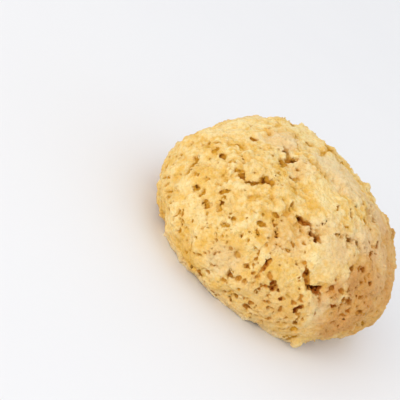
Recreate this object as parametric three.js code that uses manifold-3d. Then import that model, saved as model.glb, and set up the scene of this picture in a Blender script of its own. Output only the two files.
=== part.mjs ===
// A crackled drop cookie, baked in one piece: a craggy dome, a tucked-in foot and a flat base.
// Millimetres, +Z up, with the origin in the middle of the base. A place on the crust is a bearing
// and a rise in degrees, seen from the middle of the belly: bearings turn from -Y towards +X, and
// rises go up from the belly's level.

import * as THREE from "three";
import { mergeVertices } from "three/addons/utils/BufferGeometryUtils.js";
import Module from "manifold-3d";

const wasm = await Module();
wasm.setup();

// Driving dimensions
const WIDTH = 46;
const HEIGHT = 24;
const BELLY_LEVEL = 6.5;
const FOOT_WIDTH = 39.6;
const FULLNESS = 2.1; // 2 is an ellipse, and more is squarer at the shoulder
const CRAG_ALLOWANCE = 0.5; // what the crags add to the smooth body all round

// Broad swells and sinks that make the outline uneven: place, width across and height over the body
const SWELLS = [
  { at: [-38, 4], across: 12, proud: 0.3 },
  { at: [66, -14], across: 22, proud: -1.7 },
  { at: [108, 48], across: 24, proud: -1.0 },
  { at: [160, 56], across: 20, proud: -1.3 },
  { at: [-125, 45], across: 14, proud: 0.8 },
  { at: [-97, 19], across: 16, proud: -0.9 },
  { at: [-110, 34], across: 10, proud: -0.7 },
  { at: [-52, -15], across: 14, proud: -0.8 },
  { at: [10, -16], across: 26, proud: -0.5 },
  { at: [170, 20], across: 20, proud: 0.7 },
  { at: [-140, 5], across: 14, proud: 0.6 },
];

// Plates of crust that overlap as crags. A plate's length is turned from east towards the crown,
// and its tilt lifts its right-hand edge into a ledge.
const CRAGS = [
  { name: "cheek", at: [31, 29], size: [11.5, 8.5], proud: 1.0, turn: 0, tilt: 5 },
  { name: "heel", at: [29, 5], size: [8, 5.5], proud: 0.8, turn: 131, tilt: 7 },
  { name: "brow", at: [-37, 41], size: [9, 7], proud: 0.8, turn: 41, tilt: 7 },
  { name: "knob", at: [-74, 62], size: [7, 5], proud: 0.7, turn: 120, tilt: 6 },
  { name: "nape", at: [-22, 68], size: [9, 6], proud: 0.6, turn: -32, tilt: 5 },
  { name: "forehead", at: [-13, 37], size: [8, 6], proud: 0.7, turn: 72, tilt: 5 },
  { name: "shelf", at: [26, 49], size: [9, 6.5], proud: 0.7, turn: 0, tilt: 5 },
  { name: "chin", at: [11, 14], size: [7, 5.5], proud: 0.6, turn: -20, tilt: 4 },
];
const SPREAD_CRAGS = 90;
const SPREAD_CRAG_LENGTH = [5, 9];
const SPREAD_CRAG_SLIMNESS = [0.6, 0.9]; // width over length
const SPREAD_CRAG_PROUD = [0.2, 0.9];
const SPREAD_CRAG_TILT = [0, 9];
const CRAG_SPACING = 5; // of a spread crag from the middle of a named one
const LEDGE_SHARPNESS = 6; // how late a plate's top falls away to its edge

// Crevices that part the crags: the line each follows, its width and its depth
const CREVICES = [
  { line: [[-49, 11], [-54, 13], [-57.5, 18]], width: 0.7, depth: 0.8 },
  { line: [[-57, 58.5], [-45, 58.5]], width: 0.7, depth: 1.0 },
  { line: [[-40, 57], [-37, 61]], width: 1.2, depth: 1.4 },
  { line: [[-38, 54], [-31, 52]], width: 0.8, depth: 1.0 },
  { line: [[-27.5, 31.5], [-26, 35], [-23.5, 37.5], [-25, 41.5]], width: 0.8, depth: 1.2 },
  { line: [[4, 36.5], [12.5, 38.5]], width: 0.8, depth: 1.6 },
  { line: [[16.5, 36], [21, 34.5]], width: 1.1, depth: 2.0 },
  { line: [[21, 20], [25.5, 16]], width: 0.7, depth: 0.9 },
  { line: [[26, 14.5], [29.5, 14], [32.5, 16.5]], width: 0.8, depth: 1.6 },
  { line: [[-9.5, 23.5], [-6, 24.5]], width: 0.9, depth: 0.9 },
  { line: [[-5, 28.5], [-1.5, 27]], width: 0.8, depth: 1.0 },
  { line: [[6, 11], [6, 15.5]], width: 0.8, depth: 1.0 },
  { line: [[-32.5, 20], [-30.5, 22]], width: 0.9, depth: 0.8 },
  { line: [[-28.5, 20], [-24.5, 15]], width: 0.7, depth: 0.7 },
  { line: [[-33.5, 12.5], [-29, 13]], width: 0.8, depth: 0.7 },
];
const CREVICE_STEP = 2.2; // from one bite of a crevice to the next
const CREVICE_WANDER = 0.3; // sideways, over the crevice's width
const BITE_WIDTH = [0.8, 1.2]; // over the crevice's width
const BITE_DEPTH = [0.75, 1.1]; // over the crevice's depth
const WIDE_CREVICE = 1.15; // cut by rounder bites

// Crevices on the side away from bearing 0, laid by rule
const BACK_CREVICES = 9;
const BACK_BEARINGS = [85, 275];
const BACK_RISES = [0, 64];
const BACK_WIDTH = [0.8, 1.3];
const BACK_DEPTH = [1.1, 2.2];
const BACK_STEP = 7; // degrees from one point of the line to the next

// Burst bubbles: place and width across, then those spread by rule
const BUBBLES = [
  { at: [14.5, 7], across: 1.5 },
  { at: [1, 0.5], across: 1.1 },
  { at: [-5.5, 8], across: 1.1 },
  { at: [5, -8], across: 1.0 },
  { at: [11.5, -4], across: 1.0 },
  { at: [-10, 15.5], across: 1.0 },
  { at: [37, 18.5], across: 1.2 },
  { at: [52.5, 30], across: 1.1 },
  { at: [22, -6], across: 1.0 },
  { at: [-18.5, 52.5], across: 1.0 },
  { at: [-45, 31], across: 1.0 },
];
const SPREAD_BUBBLES = 14;
const SPREAD_BUBBLE_ACROSS = [1.0, 1.5];
const BUBBLE_SPACING = 3; // from a placed crevice or bubble
const BUBBLE_STRETCH = [1, 1.5]; // length over width
const BUBBLE_DEPTH = 0.5; // over the width

// The crumb that hangs out at the foot
const CRUMB_AT = [42.5, -13];
const CRUMB_ACROSS = 2.2;
const CRUMB_ROUGHNESS = 0.3;

const SKIN_SPLITS = 28;
const SKIN_TOLERANCE = 0.12; // flatter detail than this is left out of the skin
const EDGE_TOLERANCE = 0.05; // and of the cut edges
const BITE_ROUGHNESS = 0.5; // how unevenly a bite's corners stand, over its size
const CRUST = { color: "#e3b36c", roughness: 0.85, metalness: 0 };
const SPREAD_SHAKE = 0.5; // radians that each thing laid by rule may be turned from its place
const SEED = 4127;

const BELLY_RADIUS = WIDTH / 2 - CRAG_ALLOWANCE;
const CROWN_REACH = HEIGHT - CRAG_ALLOWANCE - BELLY_LEVEL;
const FOOT_REACH = BELLY_LEVEL / (1 - (FOOT_WIDTH / WIDTH) ** FULLNESS) ** (1 / FULLNESS);
const FOOT_RISE = -Math.atan2(BELLY_LEVEL, FOOT_WIDTH / 2);
const GOLDEN_SHARE = (Math.sqrt(5) - 1) / 2;
const GOLDEN_TURN = 2 * Math.PI * GOLDEN_SHARE ** 2;
const MIDDLE = new THREE.Vector3(0, 0, BELLY_LEVEL);
const UP = new THREE.Vector3(0, 0, 1);

// A repeatable stream of numbers from 0 to 1
function seededStream(seed) {
  let state = seed;
  return () => {
    state = (state * 1664525 + 1013904223) % 4294967296;
    return state / 4294967296;
  };
}

const random = seededStream(SEED);

function between([low, high], share = random()) {
  return low + (high - low) * share;
}

function towards([bearing, rise]) {
  const turn = THREE.MathUtils.degToRad(bearing);
  const lift = THREE.MathUtils.degToRad(rise);
  const level = Math.cos(lift);
  return new THREE.Vector3(Math.sin(turn) * level, -Math.cos(turn) * level, Math.sin(lift));
}

// The smooth body: a squared ellipsoid, taller above the belly than below it
function onBody(direction) {
  const level = Math.hypot(direction.x, direction.y) / BELLY_RADIUS;
  const upright = Math.abs(direction.z) / (direction.z > 0 ? CROWN_REACH : FOOT_REACH);
  const reach = (level ** FULLNESS + upright ** FULLNESS) ** (-1 / FULLNESS);
  return direction.clone().multiplyScalar(reach).add(MIDDLE);
}

// Directions spread evenly over the crust from the crown down to the foot
function spread(count) {
  const drop = 1 - Math.sin(FOOT_RISE);
  return Array.from({ length: count }, (_, i) => {
    const z = 1 - (drop * (i + 0.5)) / count;
    const turn = i * GOLDEN_TURN + SPREAD_SHAKE * random();
    const level = Math.sqrt(1 - z * z);
    return new THREE.Vector3(Math.sin(turn) * level, -Math.cos(turn) * level, z);
  });
}

// Is a direction's place on the crust further than a distance from every place in a list?
function isClear(direction, places, distance) {
  const point = onBody(direction);
  return places.every((at) => point.distanceTo(onBody(towards(at))) > distance);
}

const swells = SWELLS.map(({ at, ...swell }) => ({ top: onBody(towards(at)), ...swell }));

// A plate in place: its middle, the ways of its length and width, and its half sizes
function plate(direction, { size, proud, turn, tilt }) {
  const east = UP.clone().cross(direction).normalize();
  const along = east.applyAxisAngle(direction, THREE.MathUtils.degToRad(turn));
  return {
    middle: onBody(direction),
    along,
    right: along.clone().cross(direction),
    halfLength: size[0] / 2,
    halfWidth: size[1] / 2,
    proud,
    slope: Math.tan(THREE.MathUtils.degToRad(tilt)),
  };
}

function spreadPlates() {
  const named = CRAGS.map(({ at }) => at);
  const directions = spread(SPREAD_CRAGS).filter((way) => isClear(way, named, CRAG_SPACING));
  return directions.map((direction) => {
    const length = between(SPREAD_CRAG_LENGTH);
    const size = [length, length * between(SPREAD_CRAG_SLIMNESS)];
    const proud = between(SPREAD_CRAG_PROUD);
    const tilt = between(SPREAD_CRAG_TILT);
    return plate(direction, { size, proud, turn: between([0, 360]), tilt });
  });
}

const plates = [...CRAGS.map((crag) => plate(towards(crag.at), crag)), ...spreadPlates()];

function swellHeight(point, { top, across, proud }) {
  const off = Math.min(1, (2 * point.distanceTo(top)) / across);
  return proud * (1 - off * off) ** 2;
}

function plateHeight(point, { middle, along, right, halfLength, halfWidth, proud, slope }) {
  const offset = point.clone().sub(middle);
  const sideways = offset.dot(right);
  const off = Math.hypot(offset.dot(along) / halfLength, sideways / halfWidth);
  return off < 1 ? (proud + slope * sideways) * (1 - off ** LEDGE_SHARPNESS) : 0;
}

function onCrust(direction) {
  const point = onBody(direction);
  const swell = swells.reduce((sum, each) => sum + swellHeight(point, each), 0);
  const crag = plates.reduce((most, each) => Math.max(most, plateHeight(point, each)), 0);
  return point.addScaledVector(direction, swell + crag);
}

function solidFrom(geometry) {
  return new wasm.Manifold(
    new wasm.Mesh({
      numProp: 3,
      vertProperties: new Float32Array(geometry.attributes.position.array),
      triVerts: new Uint32Array(geometry.index.array),
    }),
  );
}

function geometryFrom(solid) {
  const { vertProperties, triVerts } = solid.getMesh();
  const geometry = new THREE.BufferGeometry();
  geometry.setAttribute("position", new THREE.BufferAttribute(vertProperties, 3));
  geometry.setIndex(new THREE.BufferAttribute(triVerts, 1));
  geometry.computeVertexNormals();
  return geometry;
}

function withSharedCorners(geometry) {
  geometry.deleteAttribute("normal");
  geometry.deleteAttribute("uv");
  return mergeVertices(geometry);
}

// A unit ball of triangles whose corners are pushed in and out, so that no two balls are alike
function knobblyBall(splits, roughness) {
  const geometry = withSharedCorners(new THREE.IcosahedronGeometry(1, splits));
  const corners = geometry.getAttribute("position");
  const corner = new THREE.Vector3();
  for (let i = 0; i < corners.count; i++) {
    corner.fromBufferAttribute(corners, i).multiplyScalar(1 + roughness * (random() - 0.5));
    corners.setXYZ(i, ...corner);
  }
  return geometry;
}

// The body with its crags, still round underneath
function bakedBody() {
  const geometry = withSharedCorners(new THREE.IcosahedronGeometry(1, SKIN_SPLITS));
  const corners = geometry.getAttribute("position");
  const direction = new THREE.Vector3();
  for (let i = 0; i < corners.count; i++) {
    direction.fromBufferAttribute(corners, i).normalize();
    corners.setXYZ(i, ...onCrust(direction));
  }
  return solidFrom(geometry).simplify(SKIN_TOLERANCE);
}

// What the baking sheet takes off below the base
function underBase() {
  const slab = new THREE.BoxGeometry(2 * WIDTH, 2 * WIDTH, HEIGHT);
  return solidFrom(withSharedCorners(slab.translate(0, 0, -HEIGHT / 2)));
}

// One bite out of the crust: a ball with its length along a way and its depth straight in
function bite(direction, way, [length, width, depth], splits) {
  const along = way.clone().projectOnPlane(direction).normalize();
  const across = direction.clone().cross(along);
  const place = new THREE.Matrix4()
    .makeBasis(
      along.multiplyScalar(length / 2),
      across.multiplyScalar(width / 2),
      direction.clone().multiplyScalar(depth),
    )
    .setPosition(onCrust(direction));
  return solidFrom(knobblyBall(splits, BITE_ROUGHNESS).applyMatrix4(place));
}

// A crevice is a chain of bites that wander from its line and vary in width and depth
function creviceBites({ line, width, depth }) {
  return line.slice(1).flatMap((to, i) => {
    const start = onCrust(towards(line[i]));
    const way = onCrust(towards(to)).sub(start);
    const count = Math.ceil(way.length() / CREVICE_STEP);
    return Array.from({ length: count }, (_, step) => {
      const direction = start.clone().addScaledVector(way, (step + 0.5) / count).sub(MIDDLE).normalize();
      const aside = direction.clone().cross(way).normalize();
      const wander = CREVICE_WANDER * width * (2 * random() - 1);
      direction.addScaledVector(aside, wander / start.distanceTo(MIDDLE)).normalize();
      const length = way.length() / count + width;
      const size = [length, width * between(BITE_WIDTH), depth * between(BITE_DEPTH)];
      return bite(direction, way, size, width > WIDE_CREVICE ? 1 : 0);
    });
  });
}

// Lines for the crevices at the back, each a short bent walk over the crust
function backCrevices() {
  return Array.from({ length: BACK_CREVICES }, (_, i) => {
    const bearing = between(BACK_BEARINGS, (i + 0.5) / BACK_CREVICES);
    const rise = between(BACK_RISES, (i * GOLDEN_SHARE) % 1);
    const shrink = Math.cos(THREE.MathUtils.degToRad(rise));
    const heading = between([0, 2 * Math.PI]);
    const bend = between([-1, 1]);
    const line = [0, 1, 2].map((step) => [
      bearing + (step * BACK_STEP * Math.cos(heading + step * bend)) / shrink,
      rise + step * BACK_STEP * Math.sin(heading + step * bend),
    ]);
    return { line, width: between(BACK_WIDTH), depth: between(BACK_DEPTH) };
  });
}

function bubbleBite(direction, across) {
  const way = new THREE.Vector3(random() - 0.5, random() - 0.5, random() - 0.5);
  return bite(direction, way, [across * between(BUBBLE_STRETCH), across, across * BUBBLE_DEPTH], 0);
}

function bites() {
  const crevices = [...CREVICES, ...backCrevices()];
  const places = [...crevices.flatMap(({ line }) => line), ...BUBBLES.map(({ at }) => at)];
  const directions = spread(SPREAD_BUBBLES).filter((way) => isClear(way, places, BUBBLE_SPACING));
  return [
    ...crevices.flatMap(creviceBites),
    ...BUBBLES.map(({ at, across }) => bubbleBite(towards(at), across)),
    ...directions.map((direction) => bubbleBite(direction, between(SPREAD_BUBBLE_ACROSS))),
  ];
}

function footCrumb() {
  const place = new THREE.Matrix4()
    .makeScale(CRUMB_ACROSS / 2, CRUMB_ACROSS / 2, CRUMB_ACROSS / 2)
    .setPosition(onCrust(towards(CRUMB_AT)));
  return solidFrom(knobblyBall(1, CRUMB_ROUGHNESS).applyMatrix4(place));
}

function cookieSolid() {
  const raised = bakedBody().add(footCrumb());
  const cut = [underBase(), ...bites()].reduce((solid, tool) => solid.subtract(tool), raised);
  const pieces = cut.simplify(EDGE_TOLERANCE).decompose();
  return pieces.reduce((a, b) => (a.volume() > b.volume() ? a : b));
}

const cookie = new THREE.Mesh(geometryFrom(cookieSolid()), new THREE.MeshStandardMaterial(CRUST));
cookie.name = "cookie";

const part = new THREE.Group();
part.add(cookie);

export default part;
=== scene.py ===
import math

import bpy
import numpy as np
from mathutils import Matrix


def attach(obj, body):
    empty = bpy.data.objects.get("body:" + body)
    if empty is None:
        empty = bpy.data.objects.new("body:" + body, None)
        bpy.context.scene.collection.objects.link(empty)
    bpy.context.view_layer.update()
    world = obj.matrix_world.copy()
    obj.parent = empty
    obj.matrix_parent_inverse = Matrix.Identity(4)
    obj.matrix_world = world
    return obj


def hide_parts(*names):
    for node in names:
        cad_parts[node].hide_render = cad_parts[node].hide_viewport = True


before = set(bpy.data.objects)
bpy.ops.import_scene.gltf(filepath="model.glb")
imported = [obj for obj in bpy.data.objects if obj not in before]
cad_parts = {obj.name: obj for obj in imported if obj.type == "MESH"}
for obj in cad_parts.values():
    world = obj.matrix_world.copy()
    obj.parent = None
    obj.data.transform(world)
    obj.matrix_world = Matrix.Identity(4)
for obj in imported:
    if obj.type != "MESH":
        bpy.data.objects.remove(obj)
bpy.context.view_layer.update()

import openvdb
from mathutils import Matrix, Vector

# The cookie's crust is worked in mm on a grid of distances: crumbs are stuck on, bubbles and cracks
# are carved out, and the skin that is left becomes the mesh. What the front shows is placed by the
# pixels where a square picture of 400 pixels shows it.
MM = 0.001
BELLY = np.array([0.0, 0.0, 6.5])  # the middle of the cookie where it is widest
REACH = 32.0  # from the middle of the belly to clear of the crust
NO_LENGTH = 1e-9  # a vector shorter than this points no way
BASE_DOWN = 0.95  # how far down a face points that belongs to the base
STEEP = 0.9  # how far up a way points that counts as upright

# Seeds of the random values
SEED = 51
RAGGED_SEEDS = 10  # from the seeds of one ragged layer to those of the next
CROWN_SEED = SEED + 7
ZONE_SEED = SEED + 8
GAP_SEED = SEED + 9
FAR_SEED = SEED + 11
GRAIN_SEED = SEED + 100
PIT_SEED = SEED + 200

# The grid
CELL = 0.16
BAND = 2.0  # how far from the crust distances are kept
MARGIN = 2.5  # from the solid to the sides of the grid
EDGE_CELLS = 1.001  # values are looked up no nearer than this to the far sides of the grid
SLOPE_CELLS = 2  # how far each way slopes are measured
HOLLOW = 1.3  # hollows too narrow for a ball of this radius count as sunk
DEEPEST = 3.0  # deeper hollows count as this deep
MOST_TRIANGLES = 196_000
RAGGED_BLOCK = 64  # cells across a block of unevenness that repeats
RAGGED_EDGES = 0.07  # how far the edges of what is stuck on or carved out are uneven
NOISE_CELLS = 48  # cells across a block of clouds or grains that repeats

# Lumps of crust that stay smooth and pale (one on the far edge is pale as painted rim light), patches
# stained golden, parts that browned most, with painted shade laid in with the browning on the right, the
# lower right and the middle, parts with rusty hollows, and patches of painted pale, cool light, most of
# it rim light on the far edges: the pixel in the middle of each, its reach and its strength
SMOOTH_LUMPS = [
    ((330, 262), 5.0, 1.0), ((316, 318), 3.0, 1.0), ((322, 195), 4.0, 0.8), ((240, 127), 6.0, 0.8),
    # The paleness of the lump at (332, 165) is painted rim light on the far edge
    ((205, 212), 3.0, 0.6), ((332, 165), 4.5, 0.8), ((386, 225), 6.0, 0.6), ((394, 265), 6.0, 0.5),
    ((308, 133), 5.0, 0.9),
]
GOLDEN_PATCHES = [
    ((312, 207), 2.0, 1.0), ((236, 247), 2.4, 0.8), ((291, 188), 1.8, 0.8), ((196, 168), 2.5, 0.7),
    ((275, 272), 2.0, 0.6), ((276, 222), 2.0, 0.6), ((225, 200), 4.0, 0.4), ((270, 190), 5.0, 0.4),
    ((256, 164), 4.0, 0.4), ((255, 295), 4.0, 0.5), ((166, 190), 4.0, 0.5), ((165, 215), 3.0, 0.8),
    ((188, 255), 4.0, 1.0), ((210, 168), 4.0, 0.4), ((280, 305), 5.0, 0.4),
]
# The toasted parts also carry painted shade: darker on the right, the lower right and the middle, where
# shade falls
TOAST_AND_SHADE_ZONES = [
    ((366, 285), 9.0, 1.0), ((350, 318), 9.0, 1.0), ((335, 292), 3.0, 1.0), ((285, 322), 7.0, 0.3),
    ((384, 237), 4.5, 0.9), ((250, 300), 7.0, 0.15), ((390, 275), 9.0, 0.9), ((376, 325), 8.0, 1.0),
    ((290, 240), 5.0, 0.35), ((390, 228), 4.0, 0.8), ((335, 268), 5.0, 0.25),
    ((392, 262), 13.0, 0.7), ((378, 312), 13.0, 0.7),
]
RUSTY = [
    ((275, 295), 9.0, 1.0), ((340, 300), 10.0, 1.0), ((212, 278), 6.0, 0.8), ((375, 270), 8.0, 0.8),
    ((300, 240), 6.0, 0.6),
]
# Patches of painted pale, cool light, most of it rim light on the far edges
PALE_LIGHT_PATCHES = [
    ((330, 165), 5.0, 0.8), ((283, 138), 4.0, 0.8), ((375, 212), 5.0, 0.7), ((383, 258), 5.0, 0.5),
    ((382, 280), 4.0, 0.3), ((225, 265), 4.0, 0.6), ((335, 240), 5.0, 0.5), ((320, 305), 3.0, 0.5),
    ((364, 240), 4.0, 0.8), ((352, 186), 5.0, 0.8), ((345, 170), 4.0, 0.8), ((258, 120), 4.0, 0.5),
    ((304, 166), 3.0, 0.5),
]
ZONE_FADE = 0.5  # the share of its reach over which a zone fades
ZONE_WAVES = [(3.0, 0.3), (1.1, 0.15)]  # lengths and heights of the waves of its border

# The crumbly crown above the golden flank: the rise of the border between them in degrees, seen from
# the middle of the belly, how far it wanders, over which length, and how wide it is
CROWN_RISE = 20
CROWN_WANDER = 14
CROWN_WANDER_LENGTH = 9.0
CROWN_BORDER = 24

# Crumbs stuck on: how many to a square mm on the crown and the share of them on the flank, lengths,
# half widths and half heights over the length, how far they stand out and how softly they join
CRUMBS_PER_MM2 = 0.26
FLANK_CRUMBS = 0.35
CRUMB_LENGTH = (1.0, 2.8)
CRUMB_WIDTH = (0.3, 0.5)
CRUMB_HEIGHT = (0.25, 0.4)
CRUMB_PROUD = (0.05, 0.38)
CRUMB_BLEND = 0.12
CRUMB_SUNK = 0.3  # how deep a crumb may lie
CRUMB_POWER = 2  # the higher, the more crumbs are short

# Grains that the skin is made of: their sizes, how far they stand out on the crown, and the shares of
# that on the flank and in the zones of browning and painted shade
GRAINS = [(4.2, 0.35, 0.4, 0.3), (2.2, 0.32, 0.4, 0.25), (1.1, 0.26, 0.4, 0.9), (0.6, 0.15, 0.4, 1.2)]
GRAIN_TILT = 0.3
GRAIN_HEIGHTS = (0.5, 1)
GRAIN_FALL = 2.2  # how steeply a grain falls to its edge
GRAIN_POWER = 1.5  # the higher, the flatter its top
GRAIN_LEVEL = 0.5  # the level of a grain's side that neither rises nor sinks
SMOOTH_GRAINS = 0.45  # the share on smooth lumps

# Gaps that open between the grains of one layer: the level of a grain's side where they start, the
# slope of their sides, their depth, and the patches that have them, by size, mean and contrast
GAP_LAYER = 1
GAP_LEVEL = 0.42
GAP_SLOPE = 0.25
GAP_DEPTH = 0.35
GAP_PATCHES = (5.0, 0.5, 1.5)

# Pits, where uneven waves pass a level: lengths and heights of the waves, levels on the flank and on
# the crown, the slope of the sides and the depth
PIT_WAVES = [(0.8, 1.0), (0.42, 0.7)]
PIT_LEVELS = (0.55, 0.8)
PIT_SLOPE = 0.25
PIT_DEPTH = 0.45
TOAST_AND_SHADE_PITS = 0.2  # how far the level is lower in the zones of browning and painted shade

# Burst bubbles, widths across: many on the golden flank, fewer on the crumbly crown. Each is a few
# bites, whose half lengths, half widths, depths and way aside are over the width across
FLANK_BUBBLES_PER_MM2 = 0.12
CROWN_BUBBLES_PER_MM2 = 0.05
BUBBLE_ACROSS = (0.4, 1.0)
BUBBLE_POWER = 2.5  # the higher, the more bubbles are small
BUBBLE_BITES = 3
BITE_LENGTH = (0.38, 0.6)
BITE_WIDTH = (0.28, 0.45)
BITE_DEPTH = (0.35, 0.7)
BITE_ASIDE = 0.3
BUBBLE_BLEND = 0.05

# Bubbles that the front shows: pixel and width across
FRONT_BUBBLES = [
    ((222, 156), 0.6), ((243, 157), 0.8), ((238, 145), 0.7), ((245, 130), 0.5), ((270, 127), 0.4),
    ((241, 176), 0.5), ((276, 176), 0.5), ((226, 222), 0.7), ((195, 217), 0.4), ((185, 229), 0.5),
    ((182, 190), 0.4), ((200, 195), 0.4), ((338, 209), 0.7), ((290, 141), 0.5), ((297, 209), 0.4),
    ((193, 239), 0.7), ((192, 244), 0.7), ((195, 253), 0.6), ((191, 260), 0.5), ((181, 239), 0.4),
    ((221, 237), 0.6), ((201, 257), 0.4), ((212, 265), 0.6), ((242, 234), 0.7), ((258, 236), 0.6),
    ((251, 233), 0.4), ((247, 244), 0.5), ((253, 245), 0.5), ((266, 245), 0.5), ((226, 230), 0.4),
    ((231, 230), 0.4), ((237, 256), 1.0), ((238, 251), 0.4), ((213, 243), 0.4), ((238, 279), 0.9),
    ((221, 287), 0.4), ((218, 295), 0.5), ((222, 293), 0.4), ((229, 298), 0.6), ((235, 297), 1.1),
    ((252, 302), 0.9), ((209, 281), 0.4), ((264, 302), 0.5), ((270, 303), 0.6),
    ((281, 307), 0.4), ((294, 303), 0.6), ((262, 317), 0.5), ((270, 318), 0.8), ((303, 320), 0.6),
    ((295, 325), 0.6), ((284, 324), 0.4), ((277, 323), 0.7), ((283, 329), 0.8), ((315, 314), 0.6),
    ((307, 317), 0.4), ((309, 306), 0.5), ((299, 273), 0.5), ((299, 282), 0.5), ((289, 287), 0.5),
    ((301, 251), 0.4), ((288, 251), 0.6), ((353, 268), 0.9), ((361, 269), 0.9), ((352, 275), 0.5),
    ((371, 282), 0.7), ((377, 288), 0.5), ((371, 288), 0.4), ((346, 282), 0.5), ((336, 280), 0.4),
    ((349, 293), 0.6), ((367, 297), 0.7), ((382, 299), 0.5), ((355, 306), 0.5), ((334, 308), 0.5),
    ((345, 320), 0.5), ((371, 230), 0.6), ((370, 240), 0.6), ((376, 254), 0.5), ((332, 288), 1.1),
    ((342, 290), 0.9), ((369, 275), 0.6), ((357, 296), 0.6), ((372, 307), 0.4), ((365, 316), 0.5),
    ((393, 233), 0.5), ((291, 158), 1.5), ((284, 163), 1.0),
]

# Cracks that the front shows: the pixels that each runs through, its width and its depth
FRONT_CRACKS = [
    ([(186, 174), (190, 166), (198, 156)], 1.4, 0.8),
    ([(193, 175), (198, 174)], 0.9, 0.5),
    ([(206, 177), (211, 180)], 0.6, 0.5),
    ([(212, 151), (219, 147)], 0.6, 0.6),
    ([(229, 161), (236, 162)], 0.7, 0.5),
    ([(252, 137), (258, 139)], 0.55, 0.65),
    ([(234, 174), (237, 169), (240, 173)], 0.5, 0.5),
    ([(273, 147), (277, 150)], 0.35, 0.5),
    ([(284, 147), (286, 152), (288, 156)], 0.9, 1.1),
    ([(288, 159), (292, 158), (296, 159)], 1.4, 1.7),
    ([(288, 160), (295, 159)], 0.7, 2.5),
    ([(282, 160), (285, 166)], 1.0, 1.2),
    ([(297, 135), (296, 141), (298, 150)], 0.5, 0.65),
    ([(247, 181), (250, 184), (257, 182), (265, 182), (271, 177)], 0.8, 0.9),
    ([(263, 178), (265, 182)], 0.6, 1.15),
    ([(292, 178), (298, 176)], 0.7, 0.6),
    ([(221, 190), (225, 191), (228, 193)], 0.7, 0.7),
    ([(224, 196), (222, 204), (219, 211)], 0.6, 0.45),
    ([(204, 200), (206, 206), (211, 206)], 0.7, 0.6),
    ([(199, 185), (195, 192)], 0.55, 0.5),
    ([(208, 212), (206, 221)], 0.5, 0.4),
    ([(182, 211), (181, 218), (183, 224)], 0.35, 0.4),
    ([(201, 228), (205, 226)], 0.5, 0.4),
    ([(232, 218), (234, 222)], 0.6, 0.5),
    ([(254, 210), (258, 213)], 0.4, 0.5),
    ([(273, 213), (278, 215)], 0.4, 0.65),
    ([(258, 222), (265, 225)], 0.7, 0.8),
    ([(273, 220), (276, 226)], 0.7, 1.15),
    ([(276, 228), (277, 236)], 0.4, 0.8),
    ([(290, 200), (293, 206), (297, 209)], 0.4, 0.45),
    ([(297, 218), (303, 221), (309, 224)], 0.6, 1.6),
    ([(309, 225), (312, 229)], 0.35, 0.8),
    ([(311, 231), (314, 236), (318, 240)], 1.0, 3.0),
    ([(312, 232), (314, 236), (316, 239)], 0.7, 4.0),
    ([(315, 231), (319, 235)], 0.6, 0.5),
    ([(321, 225), (325, 222)], 0.5, 0.65),
    ([(337, 235), (341, 234), (346, 237), (350, 239), (355, 239), (358, 241)], 0.35, 0.5),
    ([(359, 243), (362, 251)], 0.35, 0.35),
    ([(350, 208), (352, 218)], 0.4, 0.5),
    ([(373, 252), (372, 259)], 0.5, 0.65),
    ([(373, 247), (379, 243)], 0.5, 0.65),
    ([(366, 218), (365, 225)], 0.5, 0.65),
    ([(305, 268), (305, 276), (308, 281)], 0.45, 0.9),
    ([(307, 283), (308, 288)], 0.5, 1.05),
    ([(308, 288), (313, 290), (318, 291), (322, 288)], 0.55, 2.2),
    ([(309, 288), (314, 290), (320, 290)], 0.55, 2.5),
    ([(297, 263), (304, 263)], 0.5, 0.5),
    ([(189, 263), (192, 267)], 0.6, 0.8),
    ([(194, 268), (199, 271), (199, 275)], 0.5, 0.8),
    ([(213, 253), (219, 252)], 0.6, 0.4),
    ([(244, 264), (250, 267)], 0.5, 0.65),
    ([(263, 270), (267, 263), (271, 260)], 0.7, 1.15),
    ([(256, 275), (262, 272)], 0.5, 0.5),
    ([(226, 273), (230, 272), (232, 274)], 0.5, 0.8),
    ([(271, 291), (273, 284), (277, 291)], 0.6, 1.3),
    ([(243, 284), (246, 281)], 0.35, 0.5),
    ([(244, 306), (250, 307)], 0.55, 0.65),
    ([(280, 298), (286, 298)], 0.5, 0.5),
    ([(294, 312), (297, 309), (302, 308)], 0.55, 1.05),
    ([(343, 301), (350, 304)], 0.55, 0.8),
    ([(357, 314), (362, 313)], 0.5, 0.65),
    ([(342, 315), (348, 313)], 0.5, 0.5),
]
CRACK_STEP = 0.3
CRACK_WANDER = 0.3
CRACK_BLEND = 0.08
CRACK_BITE = 0.4  # half the length of each bite along the crack
CRACK_WIDTHS = (0.5, 1.4)  # the shares of its width and depth that bites take
CRACK_DEPTHS = (0.4, 1.1)

# What shows: how far the crust faces the camera where it starts to fade, over which change of that it
# fades to the far side, and the share from which bubbles and cracks lean towards the camera
FAR_FACING = 0.1
FAR_TURN = 0.3
LEAN_SHOWN = 0.6

# Laid by rule on the far side: bubbles from a depth along Y, browning of the flank and of the crown in
# patches by size, mean and contrast, and cracks where little shows
FAR_SIDE = -2.0
FAR_TOAST = (0.9, 0.2)
FAR_TOAST_PATCHES = (9.0, 0.75, 0.8)
SPREAD_CRACKS = 38
SPREAD_CRACK_SHOWN = 0.5
SPREAD_CRACK_REACH = 1.6  # from the middle to each end
SPREAD_CRACK_WIDTH = (0.3, 0.6)
SPREAD_CRACK_DEPTH = (0.4, 1.0)

# The ragged skin: lengths of the waves that it wanders along, how far, and how much more in a hollow
RAGGED = [(1.7, 0.2, 0.0), (0.7, 0.12, 0.12), (0.4, 0.0, 0.1)]

BASE_LIGHT_HEIGHT = 1.8  # the height of the painted light along the edge of the base

# Mottling: length, detail and roughness
PATCHES = (4.0, 3.0, 0.55)
SPECKS = (0.8, 3.0, 0.6)
FLECKS = (0.35, 3.0, 0.7)
FINE_CRUMB = (0.35, 4.0, 0.7)
TABLE_TONE = (60.0, 3.0, 0.55)

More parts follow.
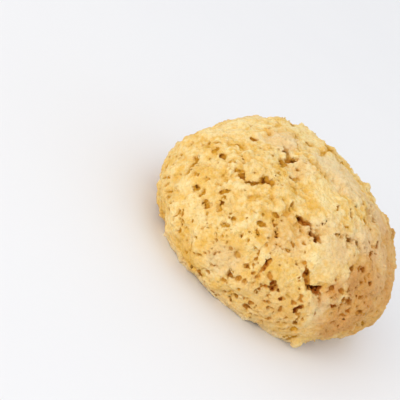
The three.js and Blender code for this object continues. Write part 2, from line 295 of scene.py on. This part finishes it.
# The skin's tints, and how strongly each is laid over the last. It turns from gold to cream over a
# range of the sum of its patches, specks, smooth lumps and tops of grains, each with its share
GOLD = "efbd5b"
CREAM = "fbe3a7"
CREAM_RANGE = (0.45, 1.1)
CREAM_PATCHES = 0.7
CREAM_SPECKS = 0.8
CREAM_SMOOTH = 0.15
CREAM_GRAIN = 0.25
STAIN = "e3ac3c"
STAIN_STRENGTH = 0.6
# The toast tint is browning and painted shade together
TOAST_AND_SHADE_TINT = "d89955"
TOAST_AND_SHADE_STRENGTH = (0.5, 0.6)  # everywhere, and more in patches
# Painted pale, cool light
PALE_LIGHT_TINT = "ecd2a8"
PALE_LIGHT_STRENGTH = 0.7
FLECK = "cfa760"
FLECK_RANGE = (0.52, 0.7)
FLECK_STRENGTH = 0.3
# Painted light along the edge of the base, against the shade where it meets the table
BASE_LIGHT_TINT = "fff2d6"
BASE_LIGHT_STRENGTH = 0.45

# The tints of hollows: from and to which depth each comes in, the tint, and the tint where it is rusty
SHALLOW_TINT = (0.1, 0.45, "d69c30", "d4933a")
# Deeper in the hollows the tints are the browner crumb and painted shade together, darker with depth;
# the deepest is painted shade alone
DEEP_SHADE_TINTS = [
    (0.45, 1.0, "cc8b30", "c57022"),
    (1.0, 1.8, "9c520f", "a44c0d"),
    (1.9, 2.6, "501f05", "501f05"),
]
HOLLOW_SPECKS = 0.7  # how far specks make the depth uneven
HOLLOW_PALE_LIGHT = 0.6  # how far painted pale light hides shallow hollows
HOLLOW_TOAST_AND_SHADE = 0.2  # how much deeper hollows look in the zones of browning and painted shade

# The crumb that is too fine for the mesh, and how dull the skin is
KERNEL_SIZE = 0.55
KERNEL_SMOOTHNESS = 0.3
FINE_DEPTH = 0.3
DULLNESS = 0.72
DULL_SPECKS = 0.2

# The camera, from how the cookie lies in the picture
PICTURE = 400
SENSOR = 36.0
VIEW_RISE = 23.0
VIEW_ROLL = 49.0
VIEW_DISTANCE = 207.0
VIEW_HEIGHT = 10.8  # of the point that the camera is set out from
FOCAL_PIXELS = 1193.4
COOKIE_PIXEL = (288.6, 217.4)
CLIP_START = 0.01
CLIP_END = 20

# The table and the lights
TABLE_HALF = 3000.0
TABLE_TINTS = ("e7e7e9", "ebebec")
WINDOW_UP = 0.35
WINDOW_LEFT = 0.5
CEILING_WAY = (0.2, 0.1, 1)
STUDIO_TINT = "f5f6f8"
STUDIO_STRENGTH = 1.02


def unit(vectors):
    """Vectors at length 1, apart from those of no length."""
    return vectors / np.maximum(np.linalg.norm(vectors, axis=-1, keepdims=True), NO_LENGTH)


def between(limits, shares):
    """Values from the first limit to the second."""
    return limits[0] + (limits[1] - limits[0]) * shares


def corners_around(cells):
    """For places in grid cells, the eight grid points round each and the weight of each."""
    low = np.floor(cells).astype(np.int64)
    part = cells - low
    for corner in np.ndindex(2, 2, 2):
        weights = np.where(corner, part, 1 - part).prod(-1)
        yield low + corner, weights


def turned_cells(points, size, rng):
    """Points in cells of a size, along axes turned at random."""
    turn = np.linalg.qr(rng.normal(size=(3, 3)))[0]
    return points @ turn / size


def clouds(points, size, seed):
    """Smooth random values from -1 to 1 that change over a length."""
    rng = np.random.default_rng(seed)
    table = rng.uniform(-1, 1, (NOISE_CELLS,) * 3)
    cells = turned_cells(points, size, rng)
    low = np.floor(cells)
    part = cells - low
    cells = low + part * part * (3 - 2 * part)
    total = np.zeros(len(points))
    for corner, weights in corners_around(cells):
        total += weights * table[tuple((corner % NOISE_CELLS).T)]
    return total


def layered_clouds(points, waves, seed):
    """Clouds of several lengths and heights, one on another."""
    return sum(height * clouds(points, size, seed + layer) for layer, (size, height) in enumerate(waves))


def soft_patches(points, size, mean, contrast, seed):
    """Values from 0 to 1 in soft patches."""
    return np.clip(mean + contrast * clouds(points, size, seed), 0, 1)


def grains(points, size, seed):
    """Blunt grains of random heights and tilts that touch: about 1 on a top and 0 in the gaps."""
    rng = np.random.default_rng(seed)
    shifts = rng.uniform(0, 1, (NOISE_CELLS,) * 3 + (3,))
    tilts = rng.normal(0, GRAIN_TILT, (NOISE_CELLS,) * 3 + (3,))
    heights = rng.uniform(*GRAIN_HEIGHTS, (NOISE_CELLS,) * 3)
    cells = turned_cells(points, size, rng)
    low = np.floor(cells).astype(int)
    tops = np.zeros(len(points))
    for step in np.ndindex(3, 3, 3):
        corner = low + step - 1
        found = tuple((corner % NOISE_CELLS).T)
        off = cells - corner - shifts[found]
        fall = (off * off).sum(-1) ** GRAIN_POWER * GRAIN_FALL
        tops = np.maximum(tops, heights[found] * (1 - fall) + (off * tilts[found]).sum(-1))
    return tops


def soften(field, cells):
    """A grid averaged over a cube that reaches a number of cells each way."""
    width = 2 * cells + 1
    for axis in range(3):
        edges = [(cells + 1, cells) if other == axis else (0, 0) for other in range(3)]
        total = np.moveaxis(np.cumsum(np.pad(field, edges, mode="edge"), axis, np.float64), axis, 0)
        field = np.moveaxis((total[width:] - total[:-width]) / width, 0, axis).astype(np.float32)
    return field


def lower_of(first, second, blend):
    """The lower of two fields, with a rounded corner where they cross."""
    share = np.clip(0.5 + 0.5 * (second - first) / blend, 0, 1)
    return second + (first - second) * share - blend * share * (1 - share)


def lying(out, turn):
    """Rows along, across and out for a thing that lies on the crust."""
    upright = np.array([1.0, 0.0, 0.0]) if abs(out[2]) > STEEP else np.array([0.0, 0.0, 1.0])
    side = unit(np.cross(out, upright))
    along = math.cos(turn) * side + math.sin(turn) * np.cross(out, side)
    return np.array([along, np.cross(out, along), out])


def random_turn(rng):
    """An angle for a thing that may lie any way round."""
    return rng.uniform(0, 2 * math.pi)


def largest_part(corners, quads):
    """Leaves out crumbs that were cut loose and bubbles that closed: corners that join share a label."""
    labels = np.arange(len(corners))
    before = None
    while not np.array_equal(labels, before):
        before = labels.copy()
        lowest = np.repeat(labels[quads].min(1), 4)
        np.minimum.at(labels, quads.ravel(), lowest)
        labels = labels[labels]
    kept = labels == np.bincount(labels).argmax()
    places = np.cumsum(kept) - 1
    return corners[kept], places[quads[kept[quads[:, 0]]]]


class Dough:
    """Distances to the crust on a grid, in mm: negative inside the cookie and positive outside."""

    def __init__(self, corners, triangles):
        self.low = corners.min(0) - MARGIN
        shape = np.ceil((corners.max(0) + MARGIN - self.low) / CELL).astype(int)
        self.scale = openvdb.createLinearTransform(voxelSize=CELL)
        grid = openvdb.FloatGrid.createLevelSetFromPolygons(
            (corners - self.low).astype(np.float32),
            triangles=triangles.astype(np.uint32),
            transform=self.scale,
            halfWidth=BAND / CELL,
        )
        self.distance = np.zeros(shape, np.float32)
        grid.copyToArray(self.distance)
        self.distance = soften(self.distance, 1)
        uneven = soften(np.random.default_rng(SEED).normal(size=(RAGGED_BLOCK,) * 3), 1)
        self.uneven = uneven * RAGGED_EDGES / uneven.std()
        self.fill_hollows()

    def surface(self):
        """The corners and quads of the crust, on the grid's own axes."""
        grid = openvdb.FloatGrid(BAND)
        grid.copyFromArray(self.distance)
        grid.transform = self.scale
        return grid.convertToQuads(isovalue=0.0)

    def around(self, corners, quads, reach):
        """Distances to a surface up to a reach."""
        return openvdb.FloatGrid.createLevelSetFromPolygons(
            corners, quads=quads, transform=self.scale, halfWidth=reach / CELL
        )

    def fill_hollows(self):
        """Keeps distances to the crust with its narrow hollows filled: it is swollen and drawn in."""
        swollen = self.around(*self.surface(), BAND).convertToQuads(isovalue=HOLLOW)
        self.filled = np.zeros(self.distance.shape, np.float32)
        self.around(*swollen, HOLLOW + DEEPEST).copyToArray(self.filled)
        self.filled += HOLLOW

    def sample(self, field, points):
        """Values of a field on this grid at points between its grid points."""
        cells = (points - self.low) / CELL
        cells = np.clip(cells, 0, np.array(field.shape) - EDGE_CELLS)
        total = np.zeros(len(points), np.float32)
        for corner, weights in corners_around(cells):
            total += weights * field[tuple(corner.T)]
        return total

    def outward(self, field, points):
        """The way out at points near the surface of a field."""
        slopes = []
        for step in np.eye(3) * SLOPE_CELLS * CELL:
            ahead = self.sample(field, points + step)
            slopes.append(ahead - self.sample(field, points - step))
        return unit(np.stack(slopes, -1))

    def shown(self, points):
        """1 where the crust faces the camera, falling to 0 where it turns to its far side."""
        facing = self.outward(self.filled, points) * unit(camera_axes()[0] - points)
        return np.clip(1 + (facing.sum(-1) - FAR_FACING) / FAR_TURN, 0, 1)

    def way_out(self, points):
        """The way out of bubbles and cracks: leant towards the camera where it sees them."""
        lean = self.shown(points)[:, None] > LEAN_SHOWN
        return unit(self.outward(self.filled, points) + unit(camera_axes()[0] - points) * lean)

    def met_by(self, start, way, first, last):
        """Where a ray meets the crust with its hollows filled, between two distances from its start."""
        points = start + unit(way) * np.arange(first, last, CELL / 2)[:, None]
        return points[np.argmax(self.sample(self.filled, points) < 0)]

    def seen_at(self, pixel):
        """The point of the crust that a pixel of the picture shows."""
        eye, right, up, back = camera_axes()
        way = right * (pixel[0] - PICTURE / 2) - up * (pixel[1] - PICTURE / 2) - back * FOCAL_PIXELS
        return self.met_by(eye, way, VIEW_DISTANCE - REACH, VIEW_DISTANCE + REACH)

    def drawn_in(self, point):
        """The point of the crust near a point, on the way to the middle of the belly."""
        return self.met_by(point, BELLY - point, -SPREAD_CRACK_REACH, REACH)

    def lump(self, centre, rows, radii, blend):
        """The grid part round an ellipsoid, and the distances to it there."""
        reach = max(radii) + 2 * blend
        shape = np.array(self.distance.shape)
        first = np.clip(np.floor((centre - reach - self.low) / CELL).astype(int), 0, shape)
        last = np.clip(np.ceil((centre + reach - self.low) / CELL).astype(int) + 1, 0, shape)
        part = tuple(slice(a, b) for a, b in zip(first, last))
        ticks = [self.low[i] + CELL * np.arange(first[i], last[i]) - centre[i] for i in range(3)]
        offsets = np.stack(np.meshgrid(*ticks, indexing="ij"), -1)
        off = np.linalg.norm(offsets @ rows.T / radii, axis=-1)
        cells = [np.arange(a, b) % RAGGED_BLOCK for a, b in zip(first, last)]
        return part, (off - 1) * min(radii) + self.uneven[np.ix_(*cells)]

    def stick(self, centre, rows, radii, blend):
        """Adds an ellipsoid to the crust."""
        part, distance = self.lump(centre, rows, radii, blend)
        self.distance[part] = lower_of(self.distance[part], distance, blend)

    def carve(self, centre, rows, radii, blend):
        """Takes an ellipsoid out of the crust."""
        part, distance = self.lump(centre, rows, radii, blend)
        self.distance[part] = -lower_of(-self.distance[part], distance, blend)

    def sunk(self, points):
        """How deep points of the crust lie in its hollows."""
        return -self.sample(self.filled, points)

    def skin(self):
        """The corners in mm and the quads of the crust, without loose bits."""
        corners, quads = largest_part(*self.surface())
        return corners + self.low, quads


def solid_arrays(piece):
    """A mesh object's corners in mm and its triangles."""
    mesh = piece.data
    mesh.calc_loop_triangles()
    corners = np.empty((len(mesh.vertices), 3))
    mesh.vertices.foreach_get("co", corners.ravel())
    triangles = np.empty((len(mesh.loop_triangles), 3), np.int32)
    mesh.loop_triangles.foreach_get("vertices", triangles.ravel())
    return corners / MM, triangles


def scatter(corners, triangles, per_mm2, rng):
    """Points spread over the crust above the base."""
    first, second, third = (corners[triangles[:, i]] for i in range(3))
    normals = np.cross(second - first, third - first)
    area = np.linalg.norm(normals, axis=1) / 2
    area[normals[:, 2] < -BASE_DOWN * 2 * area] = 0
    count = int(per_mm2 * area.sum())
    chosen = rng.choice(len(area), count, p=area / area.sum())
    a, b = np.sqrt(rng.random(count)), rng.random(count)
    shares = np.stack([1 - a, a * (1 - b), a * b], -1)[:, :, None]
    places = np.stack([first[chosen], second[chosen], third[chosen]], 1)
    return (places * shares).sum(1)


def rise_of(points):
    """Rises in degrees of points seen from the middle of the belly."""
    return np.degrees(np.arcsin(unit(points - BELLY)[:, 2]))


def crown_share(points):
    """0 on the golden flank and 1 on the crumbly crown, with an uneven border."""
    border = CROWN_RISE + CROWN_WANDER * clouds(points, CROWN_WANDER_LENGTH, CROWN_SEED)
    return np.clip((rise_of(points) - border) / CROWN_BORDER + 0.5, 0, 1)


def zone_share(dough, points, zones):
    """The strength of zones that the front shows, and 0 outside them, with an uneven border."""
    uneven = layered_clouds(points, ZONE_WAVES, ZONE_SEED)
    shares = np.zeros(len(points))
    for pixel, reach, strength in zones:
        off = np.linalg.norm(points - dough.seen_at(pixel), axis=1) / reach + uneven
        shares = np.maximum(shares, strength * np.clip((1 - off) / ZONE_FADE, 0, 1))
    return shares * dough.shown(points)


def far_toast(dough, points):
    """How far the far side browned: in patches, and less on the crown."""
    patches = soft_patches(points, *FAR_TOAST_PATCHES, FAR_SEED)
    return patches * between(FAR_TOAST, crown_share(points)) * (1 - dough.shown(points))


def stick_crumbs(dough, corners, triangles, rng):
    points = scatter(corners, triangles, CRUMBS_PER_MM2, rng)
    wanted = between((FLANK_CRUMBS, 1), crown_share(points))
    wanted *= dough.sunk(points) < CRUMB_SUNK
    wanted *= 1 - np.sqrt(zone_share(dough, points, SMOOTH_LUMPS))
    points = points[rng.random(len(points)) < wanted]
    for point, out in zip(points, dough.outward(dough.filled, points)):
        length = between(CRUMB_LENGTH, rng.random() ** CRUMB_POWER)
        proud = between(CRUMB_PROUD, rng.random())
        radii = length * np.array([0.5, rng.uniform(*CRUMB_WIDTH), rng.uniform(*CRUMB_HEIGHT)])
        rows = lying(out, random_turn(rng))
        dough.stick(point + out * (proud - radii[2]), rows, radii, CRUMB_BLEND)


def burst_bubble(dough, point, out, across, rng):
    """Carves an uneven pit from a few bites that overlap."""
    for _ in range(BUBBLE_BITES):
        rows = lying(out, random_turn(rng))
        depth = across * between(BITE_DEPTH, rng.random())
        radii = np.array([across * rng.uniform(*BITE_LENGTH), across * rng.uniform(*BITE_WIDTH), depth])
        aside = rows[0] * across * rng.uniform(-BITE_ASIDE, BITE_ASIDE)
        dough.carve(point + aside, rows, radii, BUBBLE_BLEND)


def burst_bubbles(dough, corners, triangles, rng):
    """Bursts bubbles laid by rule on the far side, and those that the front shows."""
    points = scatter(corners, triangles, FLANK_BUBBLES_PER_MM2, rng)
    wanted = between((1, CROWN_BUBBLES_PER_MM2 / FLANK_BUBBLES_PER_MM2), crown_share(points))
    wanted *= points[:, 1] > FAR_SIDE
    points = points[rng.random(len(points)) < wanted]
    widths = between(BUBBLE_ACROSS, rng.random(len(points)) ** BUBBLE_POWER)
    front = [dough.seen_at(pixel) for pixel, across in FRONT_BUBBLES]
    points = np.concatenate([points, front])
    widths = np.concatenate([widths, [across for pixel, across in FRONT_BUBBLES]])
    for point, out, across in zip(points, dough.way_out(points), widths):
        burst_bubble(dough, point, out, across, rng)


def open_crack(dough, line, width, depth, rng):
    """Carves a crack that wanders along a line of points on the crust."""
    for start, end in zip(line[:-1], line[1:]):
        count = max(1, round(np.linalg.norm(end - start) / CRACK_STEP))
        shares = (np.arange(count) + 0.5) / count
        points = start + (end - start) * shares[:, None]
        along = unit(end - start)
        for point, out in zip(points, dough.way_out(points)):
            aside = unit(np.cross(out, along))
            rows = np.array([unit(np.cross(aside, out)), aside, out])
            point = point + aside * CRACK_WANDER * rng.uniform(-1, 1)
            half = width / 2 * rng.uniform(*CRACK_WIDTHS)
            radii = np.array([CRACK_BITE, half, depth * rng.uniform(*CRACK_DEPTHS)])
            dough.carve(point, rows, radii, CRACK_BLEND)


def open_cracks(dough, corners, triangles, rng):
    """Opens the cracks that the front shows, and cracks with one bend laid by rule on the far side."""
    for pixels, width, depth in FRONT_CRACKS:
        line = [dough.seen_at(pixel) for pixel in pixels]
        open_crack(dough, line, width, depth, rng)
    points = scatter(corners, triangles, 1.0, rng)
    points = points[dough.shown(points) < SPREAD_CRACK_SHOWN][:SPREAD_CRACKS]
    for point, out in zip(points, dough.outward(dough.filled, points)):
        ways = [lying(out, random_turn(rng))[0] for _ in range(2)]
        bends = [point + ways[0] * SPREAD_CRACK_REACH, point, point + ways[1] * SPREAD_CRACK_REACH]
        line = [dough.drawn_in(bend) for bend in bends]
        width = between(SPREAD_CRACK_WIDTH, rng.random())
        open_crack(dough, line, width, between(SPREAD_CRACK_DEPTH, rng.random()), rng)


def mesh_piece(name, corners, faces):
    mesh = bpy.data.meshes.new(name)
    mesh.from_pydata(corners * MM, [], faces)
    piece = bpy.data.objects.new(name, mesh)
    bpy.context.scene.collection.objects.link(piece)
    return piece


def note_on_corners(piece, name, values):
    """Keeps a number for each corner of a mesh, for its material to read."""
    attribute = piece.data.attributes.new(name, "FLOAT", "POINT")
    attribute.data.foreach_set("value", values.astype(np.float32))


def grain_share(crown, smooth, toast_and_shade, flank, toasted_and_shaded):
    """How far a layer of grains stands out: its share on the flank and its share in the zones of
    browning and painted shade.
    """
    share = between((between((flank, 1), crown), toasted_and_shaded), toast_and_shade)
    return share * between((1, SMOOTH_GRAINS), smooth)


def pits_of(corners, crown, smooth, toast_and_shade):
    """1 in the pits of the skin and 0 between them."""
    waves = layered_clouds(corners, PIT_WAVES, PIT_SEED)
    level = between(PIT_LEVELS, crown) + smooth - TOAST_AND_SHADE_PITS * toast_and_shade
    return np.clip((waves - level) / PIT_SLOPE, 0, 1)


def gaps_of(corners, tops, crown, smooth, toast_and_shade):
    """1 in the gaps that open between grains, and 0 elsewhere."""
    patches = soft_patches(corners, *GAP_PATCHES, GAP_SEED)
    gaps = np.clip((GAP_LEVEL - tops) / GAP_SLOPE, 0, 1)
    return gaps * patches * crown * (1 - smooth) * (1 - toast_and_shade)


def make_ragged(moved, corners, hollow):
    """Moves corners along waves, further in a hollow, and never below the base."""
    for layer, (size, reach, extra) in enumerate(RAGGED):
        for axis in range(3):
            waves = clouds(corners, size, SEED + RAGGED_SEEDS * layer + axis)
            moved[:, axis] += (reach + extra * hollow) * waves
    moved[:, 2] = np.maximum(moved[:, 2], 0)


def roughen(dough, piece):
    """Raises the grains and sinks the pits of the skin, makes it ragged, and notes what it is like."""
    corners, _ = solid_arrays(piece)
    crown = crown_share(corners)
    smooth = zone_share(dough, corners, SMOOTH_LUMPS)
    toast_and_shade = zone_share(dough, corners, TOAST_AND_SHADE_ZONES)
    tops = [grains(corners, size, GRAIN_SEED + layer) for layer, (size, *_) in enumerate(GRAINS)]
    rises = [(top - GRAIN_LEVEL) * grain_share(crown, smooth, toast_and_shade, flank, toasted_and_shaded)
             for top, (_, _, flank, toasted_and_shaded) in zip(tops, GRAINS)]
    lift = sum(rise * height for rise, (_, height, _, _) in zip(rises, GRAINS))
    gaps = gaps_of(corners, tops[GAP_LAYER], crown, smooth, toast_and_shade)
    holes = PIT_DEPTH * pits_of(corners, crown, smooth, toast_and_shade) + GAP_DEPTH * gaps
    moved = corners + dough.outward(dough.distance, corners) * (lift - holes)[:, None]
    sunk = dough.sunk(corners)
    make_ragged(moved, corners, np.clip(sunk / HOLLOW, 0, 1))
    piece.data.vertices.foreach_set("co", (moved * MM).ravel())
    # Of these notes, the toast carries painted shade, and the pale patches and the base edge carry
    # painted light
    notes = {
        "sunk": sunk + holes,
        "grain": sum(rises[1:]),
        "smooth": smooth,
        "golden": zone_share(dough, corners, GOLDEN_PATCHES),
        "toast_and_shade": toast_and_shade + far_toast(dough, corners),
        "pale_light": zone_share(dough, corners, PALE_LIGHT_PATCHES),
        "rusty": zone_share(dough, corners, RUSTY),
        "base_light": np.clip(1 - moved[:, 2] / BASE_LIGHT_HEIGHT, 0, 1),
    }
    for name, values in notes.items():
        note_on_corners(piece, name, values)


def thin_out(piece):
    """Merges triangles where the skin is flat, until few enough are left. Done in mm: in metres its
    hollows are too shallow to count."""
    piece.data.transform(Matrix.Scale(1 / MM, 4))
    piece.data.update()
    piece.data.calc_loop_triangles()
    ratio = MOST_TRIANGLES / len(piece.data.loop_triangles)
    if ratio < 1:
        piece.modifiers.new("thin_out", "DECIMATE").ratio = ratio
        view = bpy.context.evaluated_depsgraph_get()
        thin = bpy.data.meshes.new_from_object(piece.evaluated_get(view))
        piece.modifiers.clear()
        piece.data = thin
    piece.data.transform(Matrix.Scale(MM, 4))
    for corner in piece.data.vertices:
        corner.co.z = max(corner.co.z, 0)


def bake_cookie(solid):
    rng = np.random.default_rng(SEED)
    corners, triangles = solid_arrays(solid)
    dough = Dough(corners, triangles)
    stick_crumbs(dough, corners, triangles, rng)
    dough.fill_hollows()
    burst_bubbles(dough, corners, triangles, rng)
    open_cracks(dough, corners, triangles, rng)
    piece = mesh_piece("cookie_crust", *dough.skin())
    roughen(dough, piece)
    thin_out(piece)
    piece.data.shade_smooth()
    return piece


class Value:
    """A socket that carries a number: arithmetic on it adds Math nodes."""

    def __init__(self, recipe, socket):
        self.recipe = recipe
        self.socket = socket

    def math(self, operation, first, second):
        node = self.recipe.node("ShaderNodeMath", {"operation": operation}, {0: first, 1: second})
        return Value(self.recipe, node.outputs[0])

    def __add__(self, other):
        return self.math("ADD", self, other)

    def __sub__(self, other):
        return self.math("SUBTRACT", self, other)

    def __mul__(self, other):
        return self.math("MULTIPLY", self, other)

    def __rsub__(self, other):
        return self.math("SUBTRACT", other, self)

    __radd__ = __add__
    __rmul__ = __mul__


class Recipe:
    """A material under construction."""

    def __init__(self, name):
        self.material = bpy.data.materials.new(name)
        self.material.use_nodes = True
        self.tree = self.material.node_tree
        self.tree.nodes.clear()

    def node(self, kind, settings=None, sockets=None):
        """Adds a node, with its settings first and then its sockets' values or links."""
        node = self.tree.nodes.new(kind)
        for name, value in (settings or {}).items():
            setattr(node, name, value)
        for name, value in (sockets or {}).items():
            if isinstance(value, Value):
                value = value.socket
            if isinstance(value, bpy.types.NodeSocket):
                self.tree.links.new(value, node.inputs[name])
            else:
                node.inputs[name].default_value = value
        return node

    def noted(self, name):
        """A number kept on the mesh's corners."""
        node = self.node("ShaderNodeAttribute", {"attribute_name": name})
        return Value(self, node.outputs["Fac"])

    def place(self):
        """Where a point lies in the piece's own frame."""
        return self.node("ShaderNodeTexCoord").outputs["Object"]

    def mottle(self, size, detail, roughness):
        """Uneven values from 0 to 1 that change over a length in mm."""
        scale = 1 / (size * MM)
        sockets = {"Vector": self.place(), "Scale": scale, "Detail": detail, "Roughness": roughness}
        return Value(self, self.node("ShaderNodeTexNoise", {}, sockets).outputs[0])

    def kernels(self, size, smoothness):
        """Distances from the middles of kernels of a size in mm."""
        sockets = {"Vector": self.place(), "Scale": 1 / (size * MM), "Smoothness": smoothness}
        node = self.node("ShaderNodeTexVoronoi", {"feature": "SMOOTH_F1"}, sockets)
        return Value(self, node.outputs["Distance"])

    def ramp(self, value, low, high):
        """0 up to one value and 1 from another, smooth between."""
        sockets = {"Value": value, "From Min": low, "From Max": high}
        node = self.node("ShaderNodeMapRange", {"interpolation_type": "SMOOTHSTEP"}, sockets)
        return Value(self, node.outputs[0])

    def blend(self, share, first, second):
        """One colour where the share is 0 and another where it is 1."""
        sockets = {0: share, 6: first, 7: second}
        return self.node("ShaderNodeMix", {"data_type": "RGBA"}, sockets).outputs[2]

    def finish(self, surface):
        self.node("ShaderNodeOutputMaterial", {}, {"Surface": surface.outputs[0]})
        return self.material


def tint(code):
    """A linear colour from a screen colour such as e9b868."""
    channels = [int(code[i:i + 2], 16) / 255 for i in (0, 2, 4)]
    linear = [c / 12.92 if c <= 0.04045 else ((c + 0.055) / 1.055) ** 2.4 for c in channels]
    return (*linear, 1.0)


def skin_colour(recipe, specks):
    """Gold to cream, stained, toasted with painted shade, with patches of painted pale light, flecked,
    and with painted light along the edge of the base.
    """
    patches = recipe.mottle(*PATCHES)
    pale = patches * CREAM_PATCHES + specks * CREAM_SPECKS
    pale = pale + recipe.noted("smooth") * CREAM_SMOOTH + recipe.noted("grain") * CREAM_GRAIN
    colour = recipe.blend(recipe.ramp(pale, *CREAM_RANGE), tint(GOLD), tint(CREAM))
    colour = recipe.blend(recipe.noted("golden") * STAIN_STRENGTH, colour, tint(STAIN))
    # Toasting, with painted shade laid in where the toast zones darken the right, the lower right and
    # the middle
    toasted_and_shaded = recipe.noted("toast_and_shade") * (TOAST_AND_SHADE_STRENGTH[0] + patches * TOAST_AND_SHADE_STRENGTH[1])
    colour = recipe.blend(toasted_and_shaded, colour, tint(TOAST_AND_SHADE_TINT))
    # Painted pale, cool light in its patches
    colour = recipe.blend(recipe.noted("pale_light") * PALE_LIGHT_STRENGTH, colour, tint(PALE_LIGHT_TINT))
    flecks = recipe.ramp(recipe.mottle(*FLECKS), *FLECK_RANGE)
    colour = recipe.blend(flecks * FLECK_STRENGTH, colour, tint(FLECK))
    # Painted light along the edge of the base
    return recipe.blend(recipe.noted("base_light") * BASE_LIGHT_STRENGTH, colour, tint(BASE_LIGHT_TINT))


def hollow_colour(recipe, colour, specks):
    """The skin's colour, with golden tints in its hollows and, deeper in them, browner crumb with
    painted shade that darkens with depth to dark brown.
    """
    rusty = recipe.noted("rusty")
    depth = recipe.noted("sunk") + specks * HOLLOW_SPECKS - HOLLOW_SPECKS / 2
    low, high, plain, rust = SHALLOW_TINT
    share = recipe.ramp(depth, low, high) * (1 - recipe.noted("pale_light") * HOLLOW_PALE_LIGHT)
    colour = recipe.blend(share, colour, recipe.blend(rusty, tint(plain), tint(rust)))
    depth = depth + recipe.noted("toast_and_shade") * HOLLOW_TOAST_AND_SHADE
    # Painted shade that darkens with depth, over the browner crumb
    for low, high, plain, rust in DEEP_SHADE_TINTS:
        deep_shade = recipe.blend(rusty, tint(plain), tint(rust))
        colour = recipe.blend(recipe.ramp(depth, low, high), colour, deep_shade)
    return colour


def baked_crust():
    recipe = Recipe("baked_crust")
    specks = recipe.mottle(*SPECKS)
    fine = recipe.mottle(*FINE_CRUMB) - recipe.kernels(KERNEL_SIZE, KERNEL_SMOOTHNESS)
    sockets = {"Strength": 1.0, "Distance": FINE_DEPTH * MM, "Height": fine}
    bump = recipe.node("ShaderNodeBump", {}, sockets)
    sockets = {
        "Base Color": hollow_colour(recipe, skin_colour(recipe, specks), specks),
        "Roughness": DULLNESS + specks * DULL_SPECKS,
        "Normal": bump.outputs[0],
        "Specular IOR Level": 0.1,
        "Subsurface Weight": 0.1,
        "Subsurface Radius": (1.0, 0.5, 0.2),
        "Subsurface Scale": 0.4 * MM,
    }
    return recipe.finish(recipe.node("ShaderNodeBsdfPrincipled", {}, sockets))


def pale_table():
    recipe = Recipe("pale_table")
    first, second = TABLE_TINTS
    colour = recipe.blend(recipe.mottle(*TABLE_TONE), tint(first), tint(second))
    sockets = {"Base Color": colour, "Roughness": 0.6, "Specular IOR Level": 0.2}
    return recipe.finish(recipe.node("ShaderNodeBsdfPrincipled", {}, sockets))


def lay_table():
    corners = TABLE_HALF * np.array([[-1, -1, 0], [1, -1, 0], [1, 1, 0], [-1, 1, 0]])
    table = mesh_piece("table", corners, [(0, 1, 2, 3)])
    table.data.materials.append(pale_table())


def camera_axes():
    """The camera's place in mm, and its right, up and back."""
    lift = math.radians(VIEW_RISE)
    roll = math.radians(VIEW_ROLL)
    east = np.array([1.0, 0.0, 0.0])
    high = np.array([0.0, math.sin(lift), math.cos(lift)])
    level = np.cross(east, high)
    eye = np.array([0.0, 0.0, VIEW_HEIGHT]) + level * VIEW_DISTANCE
    right = east * math.sin(roll) + high * math.cos(roll)
    up = high * math.sin(roll) - east * math.cos(roll)
    aside = COOKIE_PIXEL[0] - PICTURE / 2
    below = COOKIE_PIXEL[1] - PICTURE / 2
    back = unit(level * FOCAL_PIXELS + right * aside - up * below)
    right = unit(np.cross(up, back))
    return eye, right, np.cross(back, right), back


def placed(point, axes):
    """The matrix of a thing at a point in mm, with its own axes along given ones."""
    return Matrix.Translation(Vector(point) * MM) @ Matrix(np.transpose(axes).tolist()).to_4x4()


def set_camera():
    eye, *axes = camera_axes()
    camera = bpy.data.cameras.new("camera")
    camera.sensor_width = SENSOR
    camera.lens = FOCAL_PIXELS / PICTURE * SENSOR
    camera.clip_start = CLIP_START
    camera.clip_end = CLIP_END
    holder = bpy.data.objects.new("camera", camera)
    holder.matrix_world = placed(eye, axes)
    bpy.context.scene.collection.objects.link(holder)
    bpy.context.scene.camera = holder


def hang_light(name, way, distance, across, power, colour):
    """A square soft light that looks at the cookie from a way given in the cookie's frame."""
    light = bpy.data.lights.new(name, "AREA")
    light.size = across * MM
    light.energy = power
    light.color = tint(colour)[:3]
    holder = bpy.data.objects.new(name, light)
    way = unit(np.array(way))
    holder.matrix_world = placed(BELLY + way * distance, lying(way, 0))
    bpy.context.scene.collection.objects.link(holder)


def light_studio():
    _, right, up, back = camera_axes()
    window_way = up * WINDOW_UP - right * WINDOW_LEFT + back
    hang_light("window", window_way, distance=500, across=350, power=1.0, colour="fffaf2")
    hang_light("ceiling", CEILING_WAY, distance=700, across=800, power=0.5, colour="ffffff")
    world = bpy.data.worlds.new("studio")
    world.use_nodes = True
    background = world.node_tree.nodes["Background"]
    background.inputs["Color"].default_value = tint(STUDIO_TINT)
    background.inputs["Strength"].default_value = STUDIO_STRENGTH
    bpy.context.scene.world = world
    bpy.context.scene.view_settings.view_transform = "Standard"


set_camera()
cookie = bake_cookie(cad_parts["cookie"])
cookie.data.materials.append(baked_crust())
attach(cookie, "root")
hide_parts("cookie")
lay_table()
light_studio()
